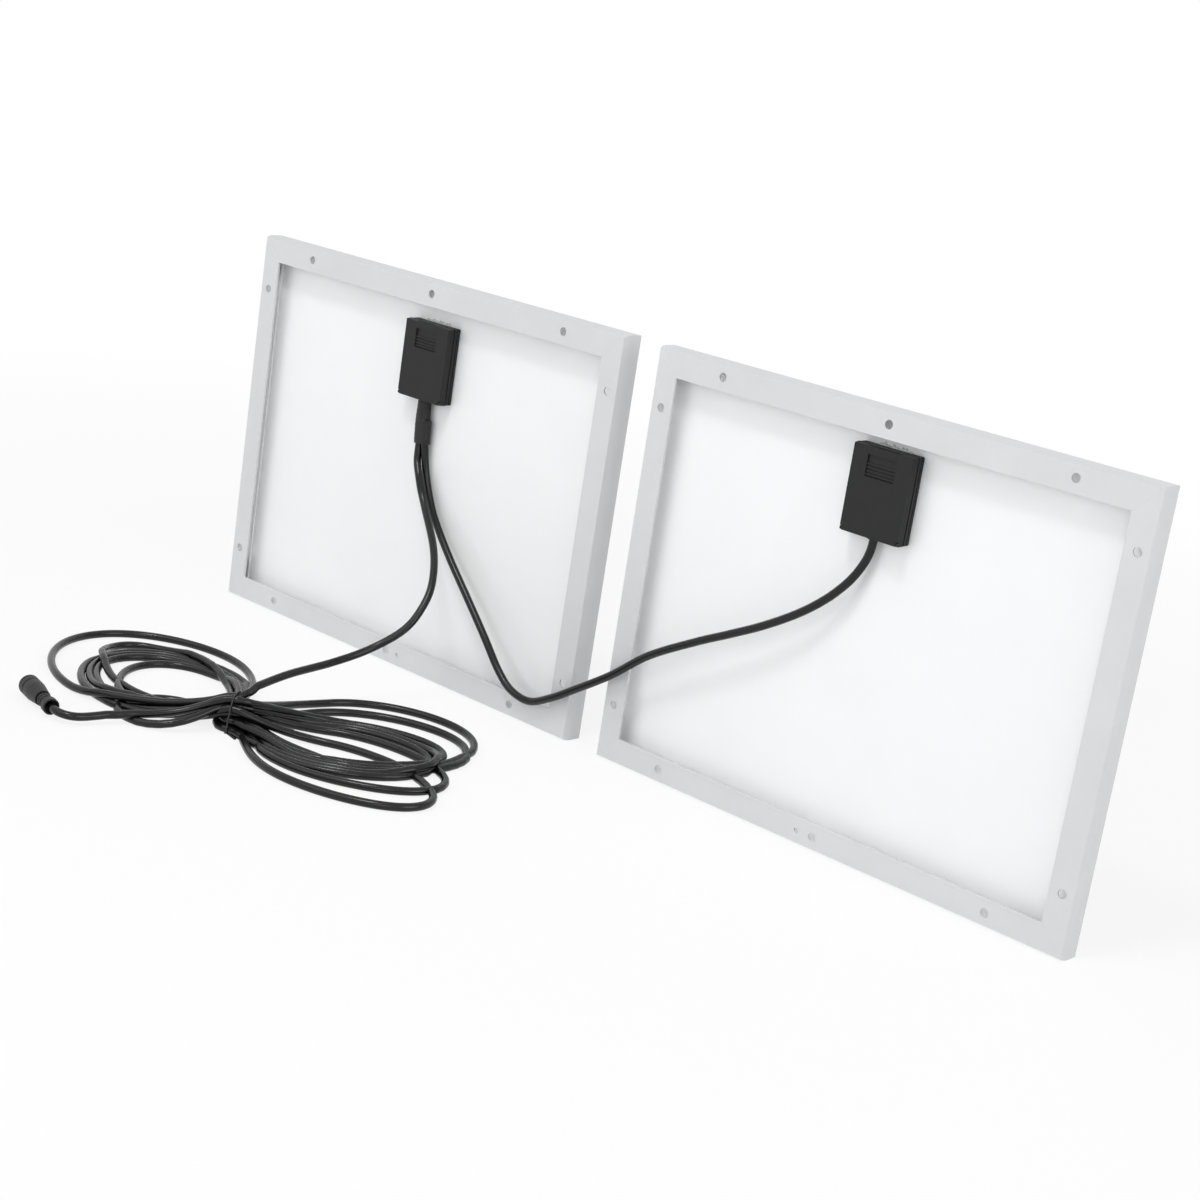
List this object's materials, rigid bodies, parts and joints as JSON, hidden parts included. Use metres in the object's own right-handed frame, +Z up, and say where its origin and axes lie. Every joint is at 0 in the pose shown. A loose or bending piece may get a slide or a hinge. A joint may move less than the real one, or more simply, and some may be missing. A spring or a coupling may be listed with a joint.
{
  "type": "twin solar panel set",
  "caption": "Twin framed solar panels seen from behind, with junction boxes, a jumper lead, a splice sleeve and a long tied lead ending in a screw-ring plug.",
  "frame": {"origin": "centre of the two panels' shared footprint on the floor", "axes": "+Z up, +X to the right seen from behind, +Y out of the glass"},
  "size_m": [0.728, 0.3007, 0.27],
  "materials": {
    "anodised_frame": "satin silver anodised extrusion",
    "cast_key": "plain cast",
    "front_glass": "low-iron tempered, lightly textured",
    "encapsulant": "milky laminated film",
    "silicon": "dark blue coated wafer",
    "tinned_ribbon": "tinned copper ribbon",
    "backsheet_film": "white satin film",
    "edge_sealant": "white sealant",
    "box_black": "black moulded, fine grain",
    "seal_rubber": "soft black",
    "clear_silicone": "translucent white silicone",
    "terminal_brass": "plain",
    "screw_steel": "zinc plated",
    "diode_black": "moulded case",
    "core_insulation": "PVC core insulation",
    "lead_pvc": "black satin PVC",
    "shrink_sleeve": "black shrink sleeve",
    "tie_plastic": "black plastic-covered wire",
    "plug_overmould": "black overmould",
    "plug_nylon": "black nylon",
    "insert_plastic": "dark insert"
  },
  "bodies": {
    "panel_set": {"left_rail_top": "anodised_frame", "left_rail_bottom": "anodised_frame", "left_rail_left": "anodised_frame", "left_rail_right": "anodised_frame", "left_corner_keys": "cast_key", "left_glass": "front_glass", "left_encapsulant": "encapsulant", "left_cells": "silicon", "left_ribbons": "tinned_ribbon", "left_backsheet": "backsheet_film", "left_edge_seal": "edge_sealant", "left_box_base": "box_black", "left_box_seal": "seal_rubber", "left_box_adhesive": "clear_silicone", "left_box_terminals": "terminal_brass", "left_box_screws": "screw_steel", "left_box_diode": "diode_black", "left_box_tabs": "tinned_ribbon", "left_box_wires": "core_insulation", "left_box_grommet": "seal_rubber", "right_rail_top": "anodised_frame", "right_rail_bottom": "anodised_frame", "right_rail_left": "anodised_frame", "right_rail_right": "anodised_frame", "right_corner_keys": "cast_key", "right_glass": "front_glass", "right_encapsulant": "encapsulant", "right_cells": "silicon", "right_ribbons": "tinned_ribbon", "right_backsheet": "backsheet_film", "right_edge_seal": "edge_sealant", "right_box_base": "box_black", "right_box_seal": "seal_rubber", "right_box_adhesive": "clear_silicone", "right_box_terminals": "terminal_brass", "right_box_screws": "screw_steel", "right_box_diode": "diode_black", "right_box_tabs": "tinned_ribbon", "right_box_wires": "core_insulation", "right_box_grommet": "seal_rubber", "stub_lead": "lead_pvc", "jumper_lead": "lead_pvc", "main_lead_run": "lead_pvc", "main_lead_hank": "lead_pvc", "main_lead_tail": "lead_pvc", "splice_sleeve": "shrink_sleeve", "hank_tie": "tie_plastic", "plug_body": "plug_overmould", "plug_insert": "insert_plastic", "plug_contacts": "terminal_brass", "plug_seal": "seal_rubber"},
    "left_lid": {"left_box_lid": "box_black"},
    "right_lid": {"right_box_lid": "box_black"},
    "nut": {"coupling_nut": "plug_nylon"}
  },
  "joints": [
    {"name": "left_lid_hinge", "type": "hinge", "parent": "panel_set", "child": "left_lid", "pos_m": [-0.189, -0.0073, 0.1902], "axis": [1, 0, 0], "range_deg": [0, 95]},
    {"name": "right_lid_hinge", "type": "hinge", "parent": "panel_set", "child": "right_lid", "pos_m": [0.189, -0.0073, 0.1957], "axis": [1, 0, 0], "range_deg": [0, 95]},
    {"name": "coupling_nut_spin", "type": "hinge", "parent": "panel_set", "child": "nut", "pos_m": [-0.21552, -0.27923, 0.0067], "axis": [-0.9641, 0.2656, 0], "continuous": true}
  ]
}
